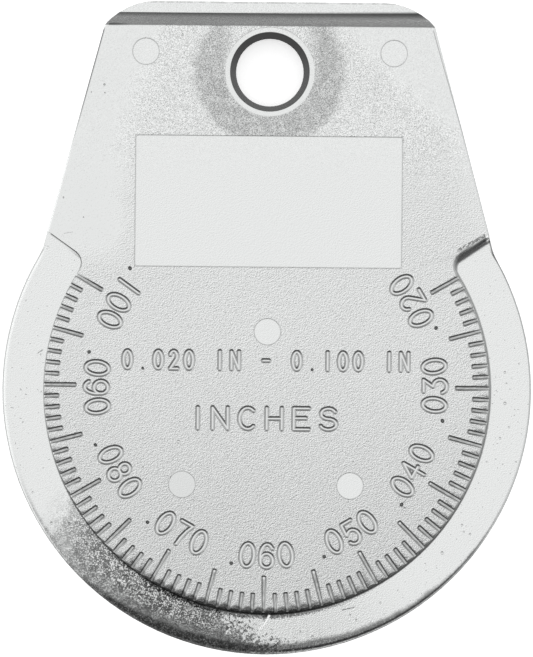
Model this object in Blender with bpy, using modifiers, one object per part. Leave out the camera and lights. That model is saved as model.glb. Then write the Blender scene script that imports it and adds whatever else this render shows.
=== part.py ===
# Spark plug gap gauge: one die-cast piece, a disc with a ramped rim and a handle with a hole.
#
# Frame: the origin is the centre of the disc on the back face, +Y runs up the handle to its
# hole and tongue, and +Z leaves the inch face. Both faces are alike about the middle plane,
# where the halves of the die meet: each half carries half of the rim's changing thickness.

import math

import bmesh
import bpy
from mathutils import Matrix, Vector

MM = 0.001
INCH = 0.0254

# Body
DISC_RADIUS = 23.5 * MM
HANDLE_HEIGHT = 34.5 * MM  # from the centre of the disc to the top edge
SIDE_INSET = 0.95 * MM  # how far inside the disc's circle the line of each side runs
SIDE_LEAN = math.radians(15)  # of each side, off the handle's length
NECK_FILLET = 3.5 * MM  # where a side runs into the disc
EDGE_ROUND = 0.22 * MM  # along the outline of both faces

# Tongue along the top edge, thinned from both faces by a sloping shoulder
TONGUE_FLAT = 1.0 * MM  # the thin strip itself, up from the shoulder
TONGUE_SHOULDER = 1.2 * MM
TONGUE_THICKNESS = 1.0 * MM
TONGUE_CORNER = 5.85 * MM

# Rim: the scale gives its thickness at each angle, counted from +X towards +Y
RIM_WIDTH = 3.73 * MM
THINNEST = 0.020 * INCH
THICKEST = 0.100 * INCH
SCALE_START = math.radians(30)  # the thin end on +X's side, its thick end as high on the other
SCALE_RUN_OUT = math.radians(5.5)  # from each end of the scale to the wall that closes the rim
FACE_STEP = 0.13 * MM  # how deep the thickest graduation lies below each face
RIM_END_CORNER = 1.2 * MM
RING_DRAFT = math.radians(4)
END_DRAFT = math.radians(13)
RING_TOP_ROUND = 0.28 * MM
END_TOP_ROUND = 0.32 * MM
RING_FOOT_FILLET = 0.2 * MM
END_FOOT_FILLET = 0.45 * MM
RIM_EDGE_ROUND = 0.6 * MM
MOST_ROUNDED = 0.45  # share of a wall's height that its round or its fillet may take
MOST_EDGE_ROUNDED = 0.75  # share of the rim's half thickness that its edge's round may take

# Graduations: grooves with sloping walls that open onto the rim
INCH_STEP = 0.001 * INCH
METRIC_START = 0.5 * MM
METRIC_END = 2.5 * MM
METRIC_STEP = 0.05 * MM
LONG_EVERY = 5
DIAL_LEFT = 0.1 * MM  # the graduations were engraved a little off the disc's centre
DIAL_UP = 0.35 * MM
SHORT_GROOVE = 1.47 * MM
LONG_GROOVE = 3.02 * MM
GROOVE_WIDTH = 0.46 * MM
GROOVE_FLOOR_WIDTH = 0.18 * MM
GROOVE_FLOOR_RISE = 0.01 * MM  # of its floor above the thickest graduation's rim
GROOVE_BLUNTING = 0.45  # share of a groove's half width that is off each corner of its inner end

# Hole in the handle, narrowest at the middle plane, in a smooth ring on each face
HOLE_FROM_TOP = 6.25 * MM
HOLE_THROAT_RADIUS = 3.0 * MM
HOLE_FLARE = 0.5 * MM  # from the throat to each mouth
HOLE_RING_WIDTH = 0.46 * MM
HOLE_RING_DEPTH = 0.04 * MM

# Panel and ejector pin marks on the inch face
PANEL_WIDTH = 23.66 * MM
PANEL_HEIGHT = 11.63 * MM
PANEL_BELOW_HOLE = 11.51 * MM  # between their centres
PANEL_CORNER = 0.3 * MM
PANEL_DEPTH = 0.05 * MM
PIN_MARK_RADIUS = 1.18 * MM
PIN_MARK_DEPTH = 0.05 * MM
TOP_PIN_SPACING = 22.0 * MM
TOP_PIN_ABOVE_HOLE = 1.72 * MM
MIDDLE_PIN_HEIGHT = 5.2 * MM
LOW_PIN_SPACING = 14.9 * MM
LOW_PIN_DROP = 8.4 * MM

# How finely round shapes are cut up
RING_STEP = math.radians(3)
NECK_STEPS = 3
TONGUE_CORNER_STEPS = 6
RIM_CORNER_STEPS = 5
TOP_ROUND_STEPS = 2
FOOT_FILLET_STEPS = 2
RIM_EDGE_STEPS = 3
PANEL_CORNER_STEPS = 2
HOLE_STEPS = 48
PIN_MARK_STEPS = 20

# How far cutters reach past the surfaces that they cut
LIFT = 0.1 * MM
CLEAR = 1.0 * MM
WALL_CLEAR = 3.0 * MM
RECESS_CLEAR = 12.0 * MM
SEAM = 0.02 * MM
END_FAN = math.radians(2)  # the end walls' sections are spread over it at their outer ends

BODY_THICKNESS = THICKEST + 2 * FACE_STEP
HALF = BODY_THICKNESS / 2
SIDE_DISTANCE = DISC_RADIUS - SIDE_INSET
RIM_INNER_RADIUS = DISC_RADIUS - RIM_WIDTH
SCALE_SWEEP = math.pi + 2 * SCALE_START
RIM_END = SCALE_START + SCALE_RUN_OUT
GROOVE_DEPTH = FACE_STEP - GROOVE_FLOOR_RISE
DIAL_CENTRE = Vector((-DIAL_LEFT, DIAL_UP))
SHOULDER_FOOT = HANDLE_HEIGHT - TONGUE_FLAT - TONGUE_SHOULDER
HOLE_HEIGHT = HANDLE_HEIGHT - HOLE_FROM_TOP
FRONT = 1
BACK = -1


def polar(radius, angle):
    return Vector((radius * math.cos(angle), radius * math.sin(angle)))


def arc(centre, radius, start, end, steps):
    """Points along an arc, both ends with it."""
    turns = [start + (end - start) * i / steps for i in range(steps + 1)]
    return [centre + polar(radius, turn) for turn in turns]


def steps_for(sweep):
    return max(1, round(abs(sweep) / RING_STEP))


def height(side, depth):
    """Z of a level that lies this deep below a face."""
    return HALF + side * (HALF - depth)


def rim_thickness(angle):
    """Thickness of the rim where this angle's ray crosses it."""
    turned = (SCALE_START - angle) % math.tau
    if turned > math.pi + SCALE_SWEEP / 2:
        turned -= math.tau
    return THINNEST + (THICKEST - THINNEST) * turned / SCALE_SWEEP


def rim_depth(angle):
    return HALF - rim_thickness(angle) / 2


def neck():
    """Centre of the fillet between the disc and the right side, and its angle seen from the origin."""
    angle = SIDE_LEAN + math.acos((SIDE_DISTANCE + NECK_FILLET) / (DISC_RADIUS + NECK_FILLET))
    return polar(DISC_RADIUS + NECK_FILLET, angle), angle


def right_side(y):
    """Point of the right side's line at this height."""
    return Vector(((SIDE_DISTANCE - y * math.sin(SIDE_LEAN)) / math.cos(SIDE_LEAN), y))


def right_outline():
    """Right half of the outline, from the top edge down to the lowest point of the disc."""
    shoulder = right_side(SHOULDER_FOOT)
    centre_y = HANDLE_HEIGHT - TONGUE_CORNER
    rise = shoulder.y - centre_y
    reach = math.sqrt(TONGUE_CORNER**2 - rise**2)
    corner = Vector((shoulder.x - reach, centre_y))
    points = arc(corner, TONGUE_CORNER, math.pi / 2, math.atan2(rise, reach), TONGUE_CORNER_STEPS)
    centre, angle = neck()
    points += arc(centre, NECK_FILLET, math.pi + SIDE_LEAN, math.pi + angle, NECK_STEPS)
    points += arc(Vector((0, 0)), DISC_RADIUS, angle, -math.pi / 2, steps_for(angle + math.pi / 2))[1:]
    return points


def mirrored(points):
    return [Vector((-p.x, p.y)) for p in reversed(points)]


def outline_edge(angle):
    """Point of the outline on this ray from the origin, and its outward direction, for the rim's range."""
    if math.cos(angle) < 0:
        point, outward = outline_edge(math.pi - angle)
        return Vector((-point.x, point.y)), Vector((-outward.x, outward.y))
    angle = math.atan2(math.sin(angle), math.cos(angle))
    centre, start = neck()
    side_foot = centre + polar(NECK_FILLET, math.pi + SIDE_LEAN)
    if angle <= start:
        return polar(DISC_RADIUS, angle), polar(1, angle)
    if angle >= math.atan2(side_foot.y, side_foot.x):
        return polar(SIDE_DISTANCE / math.cos(angle - SIDE_LEAN), angle), polar(1, SIDE_LEAN)
    ray = polar(1, angle)
    along = ray.dot(centre)
    point = ray * (along - math.sqrt(NECK_FILLET**2 - centre.length_squared + along**2))
    return point, (centre - point).normalized()


def solid_object(name, mesh, collection):
    obj = bpy.data.objects.new(name, mesh)
    collection.objects.link(obj)
    return obj


def flat_solid(name, outline, half_thickness, collection, rounding=0.0):
    """A closed flat shape about its own middle plane, from a filled curve made a mesh."""
    curve = bpy.data.curves.new(name + "_outline", "CURVE")
    curve.dimensions = "2D"
    curve.fill_mode = "BOTH"
    curve.extrude = half_thickness - rounding
    curve.bevel_depth = rounding
    curve.offset = -rounding
    curve.bevel_resolution = 1
    spline = curve.splines.new("POLY")
    spline.points.add(len(outline) - 1)
    for point, place in zip(spline.points, outline):
        point.co = (place.x, place.y, 0, 1)
    spline.use_cyclic_u = True
    guide = solid_object(name + "_outline", curve, collection)
    bpy.context.view_layer.update()
    evaluated = guide.evaluated_get(bpy.context.evaluated_depsgraph_get())
    mesh = bpy.data.meshes.new_from_object(evaluated)
    bpy.data.objects.remove(guide)
    bm = bmesh.new()
    bm.from_mesh(mesh)
    bmesh.ops.remove_doubles(bm, verts=bm.verts, dist=1e-7)
    bm.to_mesh(mesh)
    bm.free()
    mesh.materials.clear()
    return solid_object(name, mesh, collection)


def add_loft(bm, sections):
    """A closed solid through sections of as many points each, the ends fanned from their last point."""
    rings = [[bm.verts.new(p) for p in section] for section in sections]
    count = len(rings[0])
    for ring, following in zip(rings, rings[1:]):
        for i in range(count):
            j = (i + 1) % count
            bm.faces.new((ring[i], ring[j], following[j]))
            bm.faces.new((ring[i], following[j], following[i]))
    for i in range(count - 2):
        bm.faces.new((rings[0][-1], rings[0][i + 1], rings[0][i]))
        bm.faces.new((rings[-1][-1], rings[-1][i], rings[-1][i + 1]))


def lofts(name, solids, collection):
    """One object that holds a loft for each list of sections."""
    bm = bmesh.new()
    for sections in solids:
        add_loft(bm, sections)
    bmesh.ops.recalc_face_normals(bm, faces=bm.faces)
    mesh = bpy.data.meshes.new(name)
    bm.to_mesh(mesh)
    bm.free()
    return solid_object(name, mesh, collection)


def cut(target, cutter, name):
    """A Boolean cut, with the cutter hidden."""
    modifier = target.modifiers.new(name, "BOOLEAN")
    modifier.operation = "DIFFERENCE"
    modifier.solver = "EXACT"
    modifier.object = cutter
    cutter.hide_render = True
    cutter.display_type = "WIRE"


def reach_above(points, lift):
    """Moves the first point back along its own chord until it stands this far above where it was."""
    first, second = points[0], points[1]
    stretch = lift / (first.y - second.y)
    return [first + (first - second) * stretch] + points[1:]


def wall_profile(depth, draft, top_round, foot_fillet):
    """The rim's wall as (outward, up) from its sharp top corner: round, drafted wall and fillet."""
    rounding = min(top_round, MOST_ROUNDED * depth)
    filleting = min(foot_fillet, MOST_ROUNDED * depth)
    half_corner = math.tan((math.pi / 2 + draft) / 2)
    top = Vector((-rounding / half_corner, -rounding))
    foot = Vector((depth * math.tan(draft) + filleting / half_corner, filleting - depth))
    points = arc(top, rounding, math.pi / 2, draft, TOP_ROUND_STEPS)
    points += arc(foot, filleting, math.pi + draft, 1.5 * math.pi, FOOT_FILLET_STEPS)
    return reach_above(points, LIFT)


def rim_stations():
    """Right half of the rim's inner edge: (point, way into the rim, share of end wall, ray outward)."""
    into_rim = polar(1, RIM_END - math.pi / 2)
    ray = RIM_END - math.asin(RIM_END_CORNER / (RIM_INNER_RADIUS + RIM_END_CORNER))
    centre = polar(RIM_INNER_RADIUS + RIM_END_CORNER, ray)
    turn_start = RIM_END + math.pi / 2
    turn_end = ray + math.pi
    stations = [(polar(DISC_RADIUS + WALL_CLEAR, RIM_END), into_rim, 1.0)]
    for i in range(RIM_CORNER_STEPS + 1):
        share = i / RIM_CORNER_STEPS
        turn = turn_start + (turn_end - turn_start) * share
        stations.append((centre + polar(RIM_END_CORNER, turn), -polar(1, turn), 1 - share))
    last = len(stations) - 1
    fan_start = RIM_END - END_FAN
    rays = [fan_start + (ray - fan_start) * i / last for i in range(last + 1)]
    stations = [station + (outward,) for station, outward in zip(stations, rays)]
    halfway = SCALE_START - RING_STEP / 2
    while halfway > -math.pi / 2:
        stations.append((polar(RIM_INNER_RADIUS, halfway), polar(1, halfway), 0.0, halfway))
        halfway -= RING_STEP
    return stations


def both_halves(stations):
    """The stations of the right half, then their mirror images up the left half."""
    left = [
        (Vector((-p.x, p.y)), Vector((-n.x, n.y)), share, math.pi - ray)
        for p, n, share, ray in reversed(stations)
    ]
    return stations + left


def rim_recess(side, collection):
    """What the ramped rim leaves out of one face, from its wall outwards."""
    outer = DISC_RADIUS + RECESS_CLEAR
    sections = []
    for point, into_rim, share, ray in both_halves(rim_stations()):
        draft = RING_DRAFT + (END_DRAFT - RING_DRAFT) * share
        top_round = RING_TOP_ROUND + (END_TOP_ROUND - RING_TOP_ROUND) * share
        foot_fillet = RING_FOOT_FILLET + (END_FOOT_FILLET - RING_FOOT_FILLET) * share
        depth = rim_depth(math.atan2(point.y, point.x))
        section = []
        for across, up in wall_profile(depth, draft, top_round, foot_fillet):
            place = point + into_rim * across
            section.append(Vector((place.x, place.y, height(side, -up))))
        far = polar(outer, ray)
        section.append(Vector((far.x, far.y, height(side, rim_depth(ray)))))
        section.append(Vector((far.x, far.y, height(side, -LIFT))))
        sections.append(section)
    return lofts("recess_of_rim", [sections], collection)


def rim_edge_rounding(side, collection):
    """What the round along the rim's outer edge takes off."""
    start = RIM_END - RING_STEP
    steps = steps_for(2 * start + math.pi)
    sections = []
    for i in range(steps + 1):
        angle = start - (2 * start + math.pi) * i / steps
        point, outward = outline_edge(angle)
        depth = rim_depth(angle)
        radius = min(RIM_EDGE_ROUND, MOST_EDGE_ROUNDED * rim_thickness(angle) / 2)
        centre = Vector((SEAM - radius, -depth - radius))
        profile = reach_above(arc(centre, radius, math.pi / 2, 0, RIM_EDGE_STEPS), LIFT)
        profile += [Vector((CLEAR, -depth - radius)), Vector((CLEAR, LIFT - depth))]
        section = []
        for across, up in profile:
            place = point + outward * across
            section.append(Vector((place.x, place.y, height(side, -up))))
        sections.append(section)
    return lofts("rounding_of_rim", [sections], collection)


def groove(side, angle, length):
    """Sections of one graduation: a bar that narrows downwards, with a sloping, blunted inner end."""
    slope = (GROOVE_WIDTH - GROOVE_FLOOR_WIDTH) / 2 / GROOVE_DEPTH
    ray = polar(1, angle)
    along = DIAL_CENTRE.dot(ray)
    outer = RIM_INNER_RADIUS + RING_FOOT_FILLET + LIFT
    reach = math.sqrt(outer**2 - DIAL_CENTRE.length_squared + along**2) - along
    turn = Matrix.Rotation(angle, 2)
    sections = []
    for depth in (-LIFT, GROOVE_DEPTH):
        half = GROOVE_WIDTH / 2 - slope * depth
        tip = RIM_INNER_RADIUS - length + slope * depth
        blunt = GROOVE_BLUNTING * half
        right = [(reach, half), (tip + blunt, half), (tip, half - blunt)]
        plan = right + [(x, -y) for x, y in reversed(right)]
        places = [DIAL_CENTRE + turn @ Vector(place) for place in plan]
        sections.append([Vector((x, y, height(side, depth))) for x, y in places])
    return sections


def graduations(side, thicknesses, collection):
    """All the grooves of one face, each where the rim has its thickness."""
    grooves = []
    for i, thickness in enumerate(thicknesses):
        turned = (thickness - THINNEST) / (THICKEST - THINNEST) * SCALE_SWEEP
        length = SHORT_GROOVE if i % LONG_EVERY else LONG_GROOVE
        grooves.append(groove(side, SCALE_START - turned, length))
    return lofts("grooves", grooves, collection)


def stepped(first, last, step):
    return [first + step * i for i in range(round((last - first) / step) + 1)]


def tongue_shoulder(side, collection):
    """What the tongue leaves out of one face: its flat and the sloping shoulder, across the handle."""
    drop = HALF - TONGUE_THICKNESS / 2
    sections = []
    for x in (-DISC_RADIUS, DISC_RADIUS):
        profile = [
            (SHOULDER_FOOT - TONGUE_SHOULDER * LIFT / drop, -LIFT),
            (SHOULDER_FOOT + TONGUE_SHOULDER, drop),
            (HANDLE_HEIGHT + CLEAR, drop),
            (HANDLE_HEIGHT + CLEAR, -LIFT),
        ]
        sections.append([Vector((x, y, height(side, depth))) for y, depth in profile])
    return lofts("shoulder_of_tongue", [sections], collection)


def hole_cutter(collection):
    """The hole with its smooth ring on each face, turned about its own axis."""
    ring = HALF - HOLE_RING_DEPTH
    mouth_radius = HOLE_THROAT_RADIUS + HOLE_FLARE
    ring_radius = mouth_radius + HOLE_RING_WIDTH
    profile = [
        (0, HALF + CLEAR),
        (ring_radius, HALF + CLEAR),
        (ring_radius, ring),
        (mouth_radius, ring),
        (HOLE_THROAT_RADIUS, 0),
        (mouth_radius, -ring),
        (ring_radius, -ring),
        (ring_radius, -HALF - CLEAR),
        (0, -HALF - CLEAR),
    ]
    mesh = bpy.data.meshes.new("hole")
    mesh.from_pydata([(x, 0, z) for x, z in profile], [(i, i + 1) for i in range(len(profile) - 1)], [])
    cutter = solid_object("hole", mesh, collection)
    cutter.location = (0, HOLE_HEIGHT, HALF)
    screw = cutter.modifiers.new("Turn", "SCREW")
    screw.steps = HOLE_STEPS
    screw.render_steps = HOLE_STEPS
    screw.use_merge_vertices = True
    screw.merge_threshold = 1e-6
    return cutter


def panel_cutter(collection):
    """The plain sunk panel of the inch face."""
    corner = Vector((PANEL_WIDTH / 2 - PANEL_CORNER, PANEL_HEIGHT / 2 - PANEL_CORNER))
    outline = []
    for i, (x, y) in enumerate(((1, 1), (-1, 1), (-1, -1), (1, -1))):
        centre = Vector((corner.x * x, corner.y * y))
        start = i * math.pi / 2
        outline += arc(centre, PANEL_CORNER, start, start + math.pi / 2, PANEL_CORNER_STEPS)
    cutter = flat_solid("panel", outline, PANEL_DEPTH, collection)
    cutter.location = (0, HOLE_HEIGHT - PANEL_BELOW_HOLE, BODY_THICKNESS)
    return cutter


def pin_marks(collection):
    """The five shallow round marks that ejector pins leave."""
    places = [
        (-TOP_PIN_SPACING / 2, HOLE_HEIGHT + TOP_PIN_ABOVE_HOLE),
        (TOP_PIN_SPACING / 2, HOLE_HEIGHT + TOP_PIN_ABOVE_HOLE),
        (0, MIDDLE_PIN_HEIGHT),
        (-LOW_PIN_SPACING / 2, -LOW_PIN_DROP),
        (LOW_PIN_SPACING / 2, -LOW_PIN_DROP),
    ]
    bm = bmesh.new()
    for x, y in places:
        bmesh.ops.create_cone(
            bm,
            cap_ends=True,
            segments=PIN_MARK_STEPS,
            radius1=PIN_MARK_RADIUS,
            radius2=PIN_MARK_RADIUS,
            depth=2 * PIN_MARK_DEPTH,
            matrix=Matrix.Translation((x, y, BODY_THICKNESS)),
        )
    mesh = bpy.data.meshes.new("pin_marks")
    bm.to_mesh(mesh)
    bm.free()
    return solid_object("pin_marks", mesh, collection)


def plated_zinc():
    material = bpy.data.materials.new("plated_zinc")
    material.use_nodes = True
    shader = material.node_tree.nodes["Principled BSDF"]
    shader.inputs["Base Color"].default_value = (0.72, 0.74, 0.73, 1)
    shader.inputs["Metallic"].default_value = 1.0
    shader.inputs["Roughness"].default_value = 0.32
    return material


def gauge_body(parts, cutters):
    """The cast piece: its blank, then each cut of the die."""
    right = right_outline()
    blank = right + mirrored(right[:-1])
    body = flat_solid("gauge_body", blank, HALF, parts, rounding=EDGE_ROUND)
    body.data.transform(Matrix.Translation((0, 0, HALF)))
    for side, face in ((FRONT, "front"), (BACK, "back")):
        cut(body, rim_recess(side, cutters), "Rim recess " + face)
        cut(body, rim_edge_rounding(side, cutters), "Rim edge " + face)
        cut(body, tongue_shoulder(side, cutters), "Tongue " + face)
    cut(body, hole_cutter(cutters), "Hole")
    cut(body, panel_cutter(cutters), "Panel")
    cut(body, pin_marks(cutters), "Pin marks")
    cut(body, graduations(FRONT, stepped(THINNEST, THICKEST, INCH_STEP), cutters), "Inch scale")
    metric = stepped(METRIC_START, METRIC_END, METRIC_STEP)
    cut(body, graduations(BACK, metric, cutters), "Metric scale")
    body.data.materials.append(plated_zinc())
    body.data.shade_smooth()
    body.data.set_sharp_from_angle(angle=math.radians(30))
    return body


def main():
    for obj in list(bpy.data.objects):
        bpy.data.objects.remove(obj)
    parts = bpy.data.collections.new("Spark plug gap gauge")
    cutters = bpy.data.collections.new("Cutters")
    bpy.context.scene.collection.children.link(parts)
    bpy.context.scene.collection.children.link(cutters)
    cutters.hide_render = True
    gauge_body(parts, cutters)


main()
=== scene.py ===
import math
import random

import bmesh
import bpy
from mathutils import Matrix, Vector


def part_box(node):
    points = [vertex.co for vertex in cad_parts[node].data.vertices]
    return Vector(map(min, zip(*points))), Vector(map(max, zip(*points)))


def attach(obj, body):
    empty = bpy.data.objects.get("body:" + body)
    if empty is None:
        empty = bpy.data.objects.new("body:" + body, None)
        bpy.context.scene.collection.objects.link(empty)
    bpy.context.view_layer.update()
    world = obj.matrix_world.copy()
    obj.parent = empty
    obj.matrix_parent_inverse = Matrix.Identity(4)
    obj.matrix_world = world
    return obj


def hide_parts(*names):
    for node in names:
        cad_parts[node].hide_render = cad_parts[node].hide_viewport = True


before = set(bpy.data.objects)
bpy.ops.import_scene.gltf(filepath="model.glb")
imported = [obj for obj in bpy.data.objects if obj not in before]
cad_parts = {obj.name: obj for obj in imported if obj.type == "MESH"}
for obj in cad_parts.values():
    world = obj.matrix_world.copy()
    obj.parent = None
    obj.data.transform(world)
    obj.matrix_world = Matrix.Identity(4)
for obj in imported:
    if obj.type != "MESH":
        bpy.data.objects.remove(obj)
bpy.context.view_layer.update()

mm = 0.001
inch = 0.0254
low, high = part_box("gauge_body")
thickness = high.z - low.z
half = thickness / 2

# What the looks need to know of the casting. The rest is read off the node itself.
casting = {
    "discRadius": high.x,
    "rimWidth": 3.73 * mm,
    "rimTopRound": 0.28 * mm,
    "scaleStart": math.radians(30),
    "graduationPitch": math.radians(3),
    "thinnest": 0.020 * inch,
    "thickest": 0.100 * inch,
    "dialCentre": Vector((-0.1 * mm, 0.35 * mm)),
    "tongueFoot": high.y - 2.2 * mm,
    "holeHeight": high.y - 6.25 * mm,
    "holeRadius": 3.5 * mm,
    "sideLean": math.radians(15),
    "sideDistance": high.x - 0.95 * mm,
}
casting["rimInner"] = casting["discRadius"] - casting["rimWidth"]
scaleSweep = math.pi + 2 * casting["scaleStart"]
sameCorner = 1e-7  # corners closer than this are one


# A wrapped socket adds Math nodes, and the graph's own methods make every other node.
class Value:
    def __init__(self, graph, socket):
        self.graph = graph
        self.socket = socket

    def __add__(self, other):
        return self.graph.math("ADD", self, other)

    def __sub__(self, other):
        return self.graph.math("SUBTRACT", self, other)

    def __rsub__(self, other):
        return self.graph.math("SUBTRACT", other, self)

    def __mul__(self, other):
        return self.graph.math("MULTIPLY", self, other)

    def __truediv__(self, other):
        return self.graph.math("DIVIDE", self, other)

    def __neg__(self):
        return self.graph.math("MULTIPLY", self, -1.0)

    __radd__ = __add__
    __rmul__ = __mul__


class Graph:
    def __init__(self, tree):
        self.tree = tree

    def node(self, kind, settings=None, values=None, output=0):
        made = self.tree.nodes.new(kind)
        for name, setting in (settings or {}).items():
            setattr(made, name, setting)
        for name, value in (values or {}).items():
            self.feed(made.inputs[name], value)
        return Value(self, made.outputs[output])

    def feed(self, socket, value):
        if isinstance(value, Value):
            self.tree.links.new(value.socket, socket)
        else:
            socket.default_value = value

    def math(self, operation, *values):
        return self.node("ShaderNodeMath", {"operation": operation}, dict(enumerate(values)))

    def vector(self, operation, *values, output=0):
        return self.node("ShaderNodeVectorMath", {"operation": operation}, dict(enumerate(values)), output)

    def split(self, vector):
        made = self.node("ShaderNodeSeparateXYZ", None, {0: vector})
        return [Value(self, socket) for socket in made.socket.node.outputs]

    def rise(self, value, start, end):  # 0 at start, 1 at end, smooth between
        settings = {"interpolation_type": "SMOOTHSTEP"}
        return self.node("ShaderNodeMapRange", settings, {0: value, 1: start, 2: end})

    def fall(self, value, start, end):
        return 1 - self.rise(value, start, end)

    def within(self, value, start, full, fading, gone):
        return self.rise(value, start, full) * self.fall(value, fading, gone)

    def largest(self, first, *others):
        for other in others:
            first = self.math("MAXIMUM", first, other)
        return first

    def noise(self, place, size, detail, roughness, distortion=0.0):
        values = {"Vector": place, "Scale": 1 / size, "Detail": detail}
        values.update({"Roughness": roughness, "Distortion": distortion})
        return self.node("ShaderNodeTexNoise", None, values, "Fac")

    def attribute(self, name, kind):
        return self.node("GeometryNodeInputNamedAttribute", {"data_type": kind}, {"Name": name})


def startTree(name, wanted):
    # a Geometry Nodes group with a geometry in and out, and the wanted inputs by name
    tree = bpy.data.node_groups.new(name, "GeometryNodeTree")
    tree.interface.new_socket("Geometry", in_out="INPUT", socket_type="NodeSocketGeometry")
    tree.interface.new_socket("Geometry", in_out="OUTPUT", socket_type="NodeSocketGeometry")
    for socketName, kind in wanted.items():
        tree.interface.new_socket(socketName, in_out="INPUT", socket_type=kind)
    graph = Graph(tree)
    entry = tree.nodes.new("NodeGroupInput")
    return graph, {socket.name: Value(graph, socket) for socket in entry.outputs if socket.name}


def endTree(graph, solid, metal):
    # the solid as one mesh of the metal, at the group's output
    solid = graph.node("GeometryNodeRealizeInstances", None, {0: solid})
    solid = graph.node("GeometryNodeSetMaterial", None, {"Geometry": solid, "Material": metal})
    leave = graph.tree.nodes.new("NodeGroupOutput")
    graph.tree.links.new(solid.socket, leave.inputs[0])
    return graph.tree


# Marks: one-line figures cut by a tapered tool, round the dial and in two lines across it.
marks = {
    "figureHeight": 2.06 * mm,  # between the middles of its strokes
    "strokeWidth": 0.46 * mm,
    "floorWidth": 0.14 * mm,
    "strokeDepth": 0.105 * mm,
    "lift": 0.05 * mm,
    "baseRadius": 16.06 * mm,  # of the figures' feet, from the dial's centre
    "firstOffset": math.radians(-5.7),  # of the first figure from its graduation
    "pitch": math.radians(6.5),
    "dotOffset": math.radians(-10.5),
    "dotRise": 0.1 * mm,
    "dotRadius": 0.17 * mm,
    "lineDotRadius": 0.14 * mm,
    "dotDepth": 1.35,  # against its radius
    "toolSides": 16,
    # of each line: words, height, width against a dial figure's, pitch, share of it that an I
    # takes, and how far its feet stand above the dial's centre
    "frontLines": [
        ("0.020 IN - 0.100 IN", 1.55 * mm, 0.80, 1.365 * mm, 1.0, 1.52 * mm),
        ("INCHES", 1.86 * mm, 1.33, 2.4 * mm, 0.65, -3.77 * mm),
    ],
    "backLines": [
        ("0.50 MM - 2.50 MM", 1.55 * mm, 0.80, 1.365 * mm, 1.0, 1.52 * mm),
        ("0.05 MM", 1.86 * mm, 1.1, 1.9 * mm, 1.0, -3.77 * mm),
    ],
}

# A few scratches, and the outlines of two blisters.
fineLines = {
    "width": 0.07 * mm,
    "floorWidth": 0.02 * mm,
    "depth": 0.025 * mm,
    "toolSides": 8,
    # of each scratch in mm: where it starts, its length, its direction in degrees
    "scratches": [
        (6.9, -19.45, 1.15, 14),
        (-7.95, -20.75, 0.75, -48),
        (-10.95, -17.15, 0.9, -35),
        (0.35, -19.95, 1.55, -118),
        (-18.1, 13.75, 0.75, 10),
        (-20.35, 3.1, 0.55, 35),
        (12.05, -9.95, 0.5, 40),
    ],
    "ovals": [(-10.2, -17.75, 0.45, 0.2, -8), (-11.55, -17.75, 0.33, 0.2, 20)],
}


def bow(x, y, wide, tall, start, end, steps=12):
    turns = [math.radians(start + (end - start) * i / steps) for i in range(steps + 1)]
    return [(x + wide * math.cos(t), y + tall * math.sin(t)) for t in turns]


def loop(x, y, wide, tall, steps=28):
    return bow(x, y, wide, tall, 0, 360 - 360 / steps, steps - 1) + ["closed"]


def turnedRound(strokes):
    turned = []
    for stroke in strokes:
        turned.append([p if p == "closed" else (-p[0], 1 - p[1]) for p in stroke])
    return turned


six = [loop(0.0, 0.3, 0.27, 0.3, 22), bow(0.03, 0.45, 0.3, 0.55, 42, 195)]
figures = {
    "0": [loop(0, 0.5, 0.285, 0.5)],
    "1": [[(0, 0), (0, 1)]],
    "2": [bow(0, 0.72, 0.25, 0.28, 165, -35, 10) + [(-0.25, 0)], [(-0.25, 0), (0.28, 0)]],
    "3": [[(-0.25, 1), (0.25, 1)], [(0.25, 1), (-0.03, 0.6)], bow(-0.03, 0.3, 0.29, 0.3, 90, -160)],
    "4": [[(0.08, 1), (-0.29, 0.4)], [(-0.29, 0.4), (0.25, 0.4)], [(0.08, 1), (0.08, 0)]],
    "5": [[(0.24, 1), (-0.2, 1)], [(-0.2, 1), (-0.23, 0.5)], bow(0, 0.31, 0.28, 0.31, 142, -150)],
    "6": six,
    "7": [[(-0.27, 1), (0.27, 1)], [(0.27, 1), (0.13, 0.68), (0.04, 0.34), (0, 0)]],
    "8": [loop(0, 0.76, 0.22, 0.24, 20), loop(0, 0.27, 0.265, 0.27, 22)],
    "9": turnedRound(six),
    "-": [[(-0.2, 0.5), (0.2, 0.5)]],
    "C": [bow(0.02, 0.5, 0.3, 0.5, 48, 312, 20)],
    "E": [
        [(0.27, 1), (-0.27, 1)], [(-0.27, 1), (-0.27, 0)],
        [(-0.27, 0), (0.27, 0)], [(-0.27, 0.53), (0.16, 0.53)],
    ],
    "H": [[(-0.27, 0), (-0.27, 1)], [(0.27, 0), (0.27, 1)], [(-0.27, 0.5), (0.27, 0.5)]],
    "I": [[(0, 0), (0, 1)]],
    "M": [[(-0.3, 0), (-0.3, 1)], [(-0.3, 1), (0, 0.3)], [(0, 0.3), (0.3, 1)], [(0.3, 1), (0.3, 0)]],
    "N": [[(-0.27, 0), (-0.27, 1)], [(-0.27, 1), (0.27, 0)], [(0.27, 0), (0.27, 1)]],
    "S": [bow(0, 0.755, 0.26, 0.245, 22, 270, 13) + bow(0, 0.255, 0.285, 0.255, 90, -158, 14)[1:]],
    "ring": [loop(0, 0, 1, 1, 36)],
    "line": [[(0, 0), (1, 0)]],
}
figureOrder = sorted(figures)


def figureCurves():
    collection = bpy.data.collections.new("Figures")
    for i, figure in enumerate(figureOrder):
        curve = bpy.data.curves.new("Figure", "CURVE")
        curve.dimensions = "3D"
        for stroke in figures[figure]:
            closed = stroke[-1] == "closed"
            points = stroke[:-1] if closed else stroke
            spline = curve.splines.new("POLY")
            spline.points.add(len(points) - 1)
            for point, (x, y) in zip(spline.points, points):
                point.co = (x, y, 0, 1)
            spline.use_cyclic_u = closed
        collection.objects.link(bpy.data.objects.new("figure%02d" % i, curve))
    return collection


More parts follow.
